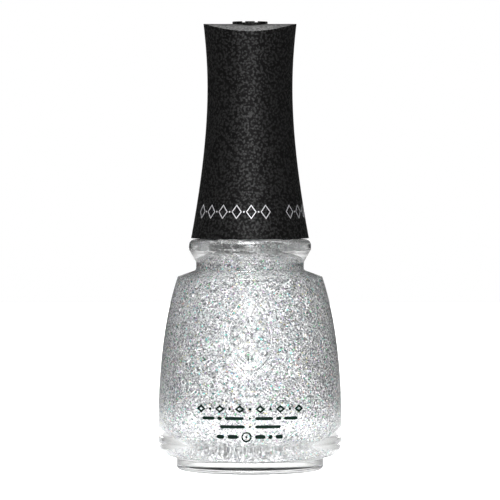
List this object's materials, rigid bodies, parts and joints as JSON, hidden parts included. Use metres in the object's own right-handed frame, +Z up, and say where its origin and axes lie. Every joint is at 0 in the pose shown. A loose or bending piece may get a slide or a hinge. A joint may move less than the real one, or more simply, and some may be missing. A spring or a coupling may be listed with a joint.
{
  "type": "nail polish bottle",
  "caption": "Round glass nail polish bottle of silver glitter lacquer with a tall flared black screw cap that carries the bristle brush; loose steel balls stir the lacquer.",
  "frame": {"origin": "middle of the foot ring, on the surface that the bottle stands on", "axes": "+Z up along the bottle's axis, from the foot to the cap's top; -Y faces the side with the print and the raised motif; the arch of the cap's top runs along X"},
  "size_m": [0.0342, 0.0342, 0.0828],
  "materials": {
    "clear_glass": "smooth clear flint glass",
    "glitter_lacquer": "silver holographic glitter in a clear base",
    "steel": "polished stainless steel",
    "sticker_paper": "satin",
    "liner_foam": "soft polyethylene foam",
    "stem_plastic": "satin moulded",
    "bristle": "fine nylon filaments",
    "closure_plastic": "moulded polypropylene",
    "soft_touch_black": "soft-touch matte with a fine grain",
    "print_ink": "silver hot-stamp foil",
    "dark_ink": "screen-printed ink, green-black"
  },
  "bodies": {
    "bottle": {"glass_bottle": "clear_glass", "lacquer": "glitter_lacquer", "base_label": "sticker_paper"},
    "ball_a": {"mixing_ball_a": "steel"},
    "ball_b": {"mixing_ball_b": "steel"},
    "seal": {"seal_liner": "liner_foam"},
    "brush": {"brush_stem": "stem_plastic", "bristle_anchor": "steel", "bristle_tuft": "bristle"},
    "cap": {"inner_cap": "closure_plastic", "cap_shell": "soft_touch_black", "cap_lid": "soft_touch_black"}
  },
  "joints": [
    {"name": "cap_lift", "type": "slide", "parent": "bottle", "child": "seal", "axis": [0, 0, 1], "range_m": [0, 0.056], "deforming": ["lacquer"]},
    {"name": "cap_rise", "type": "slide", "parent": "seal", "child": "brush", "axis": [0, 0, 1], "range_m": [0, 0.00339]},
    {"name": "cap_turn", "type": "hinge", "parent": "brush", "child": "cap", "pos_m": [0, 0, 0.0541], "axis": [0, 0, 1], "range_deg": [0, 576]},
    {"name": "ball_a_hop", "type": "slide", "parent": "bottle", "child": "ball_a", "axis": [0, 0, 1], "range_m": [0, 0.012]},
    {"name": "ball_b_hop", "type": "slide", "parent": "bottle", "child": "ball_b", "axis": [0, 0, 1], "range_m": [0, 0.012]}
  ],
  "couplings": [
    {"joint": "cap_rise", "follows": "cap_turn", "m_per_rad": 0.00033693}
  ]
}
